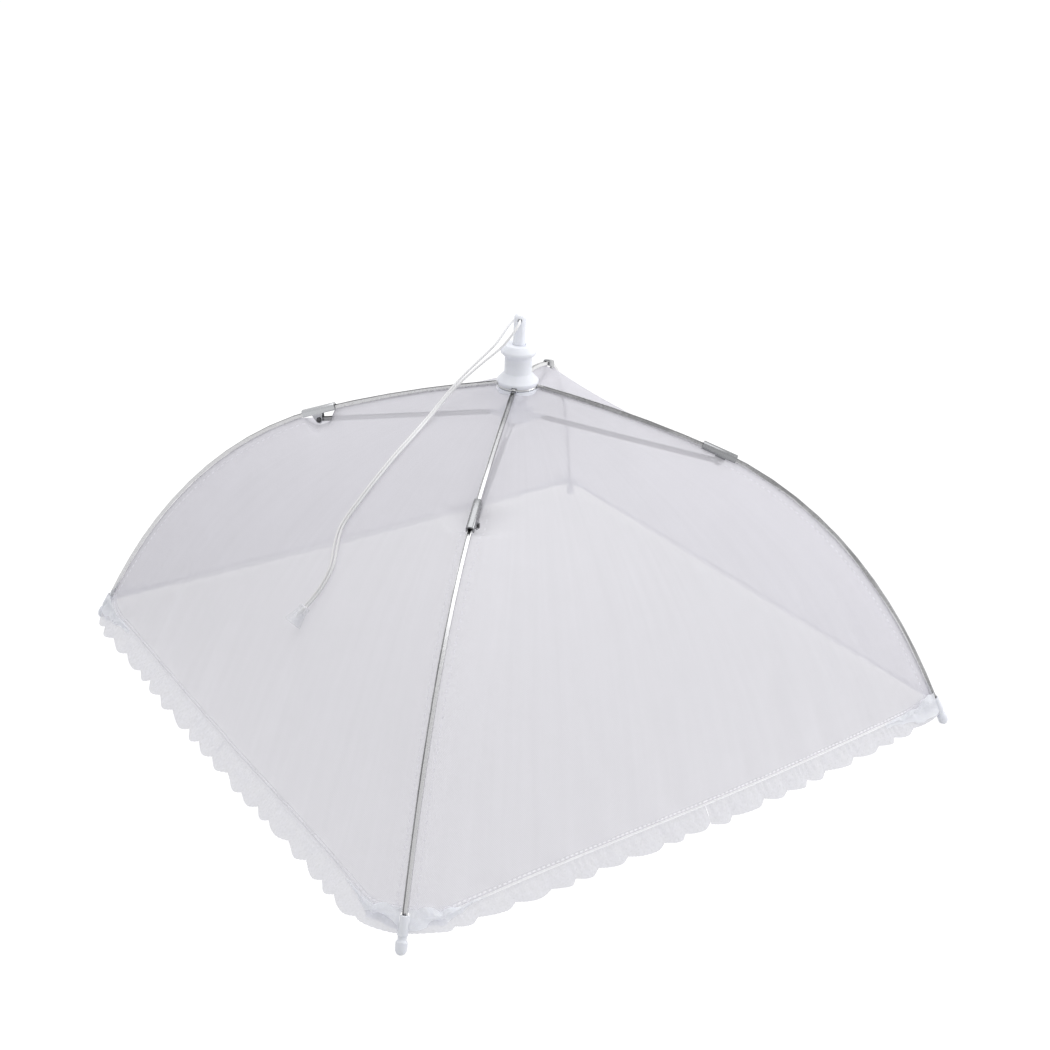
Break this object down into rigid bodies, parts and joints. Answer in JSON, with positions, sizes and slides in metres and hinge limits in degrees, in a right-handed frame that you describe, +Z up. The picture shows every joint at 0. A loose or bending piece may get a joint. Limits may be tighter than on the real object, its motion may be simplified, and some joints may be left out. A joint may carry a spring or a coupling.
{
  "type": "food cover",
  "caption": "Fold-up square mesh food cover with bowed ribs, a net canopy and a lace hem, opened and locked by a pull cord and a rod through the top hub.",
  "frame": {"origin": "centre of the square between the feet, on the table", "axes": "+Z up along the hub's axis; X and Y along the cover's sides; the ribs lie at 45 degrees to them"},
  "size_m": [0.4214, 0.4214, 0.243],
  "materials": {
    "galvanised_steel": "satin",
    "bright_steel": "polished",
    "rivet_steel": "satin",
    "strut_steel": "satin",
    "white_plastic": "moulded, semi-gloss",
    "rod_plastic": "moulded, semi-gloss",
    "runner_plastic": "moulded, satin",
    "white_net": "fine white polyester net",
    "white_lace": "gathered white lace",
    "white_cord": "twisted white string",
    "clear_bead": "translucent white, glossy"
  },
  "bodies": {
    "hub": {"hub_body": "white_plastic", "hub_ring_wire": "galvanised_steel"},
    "slider": {"runner": "runner_plastic", "pull_rod": "rod_plastic"},
    "left_rib": {"rib_left": "galvanised_steel", "clip_left": "bright_steel", "clip_rivet_left": "rivet_steel", "corner_cap_left": "white_plastic"},
    "left_strut": {"strut_left": "strut_steel", "strut_pin_left": "rivet_steel"},
    "left_net_a": {"net_panel_left_a": "white_net", "lace_trim_left_a": "white_lace"},
    "left_net_b": {"net_panel_left_b": "white_net", "lace_trim_left_b": "white_lace"},
    "front_rib": {"rib_front": "galvanised_steel", "clip_front": "bright_steel", "clip_rivet_front": "rivet_steel", "corner_cap_front": "white_plastic"},
    "front_strut": {"strut_front": "strut_steel", "strut_pin_front": "rivet_steel"},
    "front_net_a": {"net_panel_front_a": "white_net", "lace_trim_front_a": "white_lace"},
    "front_net_b": {"net_panel_front_b": "white_net", "lace_trim_front_b": "white_lace"},
    "right_rib": {"rib_right": "galvanised_steel", "clip_right": "bright_steel", "clip_rivet_right": "rivet_steel", "corner_cap_right": "white_plastic"},
    "right_strut": {"strut_right": "strut_steel", "strut_pin_right": "rivet_steel"},
    "right_net_a": {"net_panel_right_a": "white_net", "lace_trim_right_a": "white_lace"},
    "right_net_b": {"net_panel_right_b": "white_net", "lace_trim_right_b": "white_lace"},
    "back_rib": {"rib_back": "galvanised_steel", "clip_back": "bright_steel", "clip_rivet_back": "rivet_steel", "corner_cap_back": "white_plastic"},
    "back_strut": {"strut_back": "strut_steel", "strut_pin_back": "rivet_steel"},
    "back_net_a": {"net_panel_back_a": "white_net", "lace_trim_back_a": "white_lace"},
    "back_net_b": {"net_panel_back_b": "white_net", "lace_trim_back_b": "white_lace"},
    "pull_cord": {"cord_strand_a": "white_cord", "cord_strand_b": "white_cord", "cord_bead": "clear_bead"}
  },
  "joints": [
    {"name": "rod_slide", "type": "slide", "parent": "hub", "child": "slider", "axis": [0, 0, -1], "range_m": [0, 0.1956]},
    {"name": "rib_fold_left", "type": "hinge", "parent": "hub", "child": "left_rib", "pos_m": [-0.00813, -0.00813, 0.198], "axis": [0.7071, -0.7071, 0], "range_deg": [0, 53.5]},
    {"name": "rib_fold_front", "type": "hinge", "parent": "hub", "child": "front_rib", "pos_m": [0.00813, -0.00813, 0.198], "axis": [0.7071, 0.7071, 0], "range_deg": [0, 53.5]},
    {"name": "rib_fold_right", "type": "hinge", "parent": "hub", "child": "right_rib", "pos_m": [0.00813, 0.00813, 0.198], "axis": [-0.7071, 0.7071, 0], "range_deg": [0, 53.5]},
    {"name": "rib_fold_back", "type": "hinge", "parent": "hub", "child": "back_rib", "pos_m": [-0.00813, 0.00813, 0.198], "axis": [-0.7071, -0.7071, 0], "range_deg": [0, 53.5]},
    {"name": "strut_fold_left", "type": "hinge", "parent": "left_rib", "child": "left_strut", "pos_m": [-0.08768, -0.08768, 0.162], "axis": [-0.7071, 0.7071, 0], "range_deg": [0, 134.8]},
    {"name": "strut_fold_front", "type": "hinge", "parent": "front_rib", "child": "front_strut", "pos_m": [0.08768, -0.08768, 0.162], "axis": [-0.7071, -0.7071, 0], "range_deg": [0, 134.8]},
    {"name": "strut_fold_right", "type": "hinge", "parent": "right_rib", "child": "right_strut", "pos_m": [0.08768, 0.08768, 0.162], "axis": [0.7071, -0.7071, 0], "range_deg": [0, 134.8]},
    {"name": "strut_fold_back", "type": "hinge", "parent": "back_rib", "child": "back_strut", "pos_m": [-0.08768, 0.08768, 0.162], "axis": [0.7071, 0.7071, 0], "range_deg": [0, 134.8]},
    {"name": "net_fold_left_a", "type": "hinge", "parent": "left_rib", "child": "left_net_a", "pos_m": [0.05971, -0.02074, 0.17832], "axis": [0.0697, 0.9316, -0.3568], "range_deg": [0, 37.2], "deforming": ["net_panel_left_a", "lace_trim_left_a"]},
    {"name": "net_fold_left_b", "type": "hinge", "parent": "left_rib", "child": "left_net_b", "pos_m": [-0.02074, 0.05971, 0.17832], "axis": [-0.9316, -0.0697, 0.3568], "range_deg": [0, 37.2], "deforming": ["net_panel_left_b", "lace_trim_left_b"]},
    {"name": "net_fold_front_a", "type": "hinge", "parent": "front_rib", "child": "front_net_a", "pos_m": [0.02074, 0.05971, 0.17832], "axis": [-0.9316, 0.0697, -0.3568], "range_deg": [0, 37.2], "deforming": ["net_panel_front_a", "lace_trim_front_a"]},
    {"name": "net_fold_front_b", "type": "hinge", "parent": "front_rib", "child": "front_net_b", "pos_m": [-0.05971, -0.02074, 0.17832], "axis": [0.0697, -0.9316, 0.3568], "range_deg": [0, 37.2], "deforming": ["net_panel_front_b", "lace_trim_front_b"]},
    {"name": "net_fold_right_a", "type": "hinge", "parent": "right_rib", "child": "right_net_a", "pos_m": [-0.05971, 0.02074, 0.17832], "axis": [-0.0697, -0.9316, -0.3568], "range_deg": [0, 37.2], "deforming": ["net_panel_right_a", "lace_trim_right_a"]},
    {"name": "net_fold_right_b", "type": "hinge", "parent": "right_rib", "child": "right_net_b", "pos_m": [0.02074, -0.05971, 0.17832], "axis": [0.9316, 0.0697, 0.3568], "range_deg": [0, 37.2], "deforming": ["net_panel_right_b", "lace_trim_right_b"]},
    {"name": "net_fold_back_a", "type": "hinge", "parent": "back_rib", "child": "back_net_a", "pos_m": [-0.02074, -0.05971, 0.17832], "axis": [0.9316, -0.0697, -0.3568], "range_deg": [0, 37.2], "deforming": ["net_panel_back_a", "lace_trim_back_a"]},
    {"name": "net_fold_back_b", "type": "hinge", "parent": "back_rib", "child": "back_net_b", "pos_m": [0.05971, 0.02074, 0.17832], "axis": [-0.0697, 0.9316, 0.3568], "range_deg": [0, 37.2], "deforming": ["net_panel_back_b", "lace_trim_back_b"]},
    {"name": "cord_swing", "type": "hinge", "parent": "slider", "child": "pull_cord", "pos_m": [0, 0, 0.239], "axis": [-0.9946, -0.104, 0], "range_deg": [0, 129.5], "deforming": ["cord_strand_a", "cord_strand_b"]}
  ],
  "couplings": [
    {"joint": "rib_fold_left", "follows": "rod_slide", "rad_per_m": 4.7731},
    {"joint": "rib_fold_front", "follows": "rod_slide", "rad_per_m": 4.7731},
    {"joint": "rib_fold_right", "follows": "rod_slide", "rad_per_m": 4.7731},
    {"joint": "rib_fold_back", "follows": "rod_slide", "rad_per_m": 4.7731},
    {"joint": "strut_fold_left", "follows": "rod_slide", "rad_per_m": 12.027},
    {"joint": "strut_fold_front", "follows": "rod_slide", "rad_per_m": 12.027},
    {"joint": "strut_fold_right", "follows": "rod_slide", "rad_per_m": 12.027},
    {"joint": "strut_fold_back", "follows": "rod_slide", "rad_per_m": 12.027},
    {"joint": "net_fold_left_a", "follows": "rod_slide", "rad_per_m": 3.3193},
    {"joint": "net_fold_left_b", "follows": "rod_slide", "rad_per_m": 3.3193},
    {"joint": "net_fold_front_a", "follows": "rod_slide", "rad_per_m": 3.3193},
    {"joint": "net_fold_front_b", "follows": "rod_slide", "rad_per_m": 3.3193},
    {"joint": "net_fold_right_a", "follows": "rod_slide", "rad_per_m": 3.3193},
    {"joint": "net_fold_right_b", "follows": "rod_slide", "rad_per_m": 3.3193},
    {"joint": "net_fold_back_a", "follows": "rod_slide", "rad_per_m": 3.3193},
    {"joint": "net_fold_back_b", "follows": "rod_slide", "rad_per_m": 3.3193},
    {"joint": "cord_swing", "follows": "rod_slide", "rad_per_m": 11.55}
  ]
}
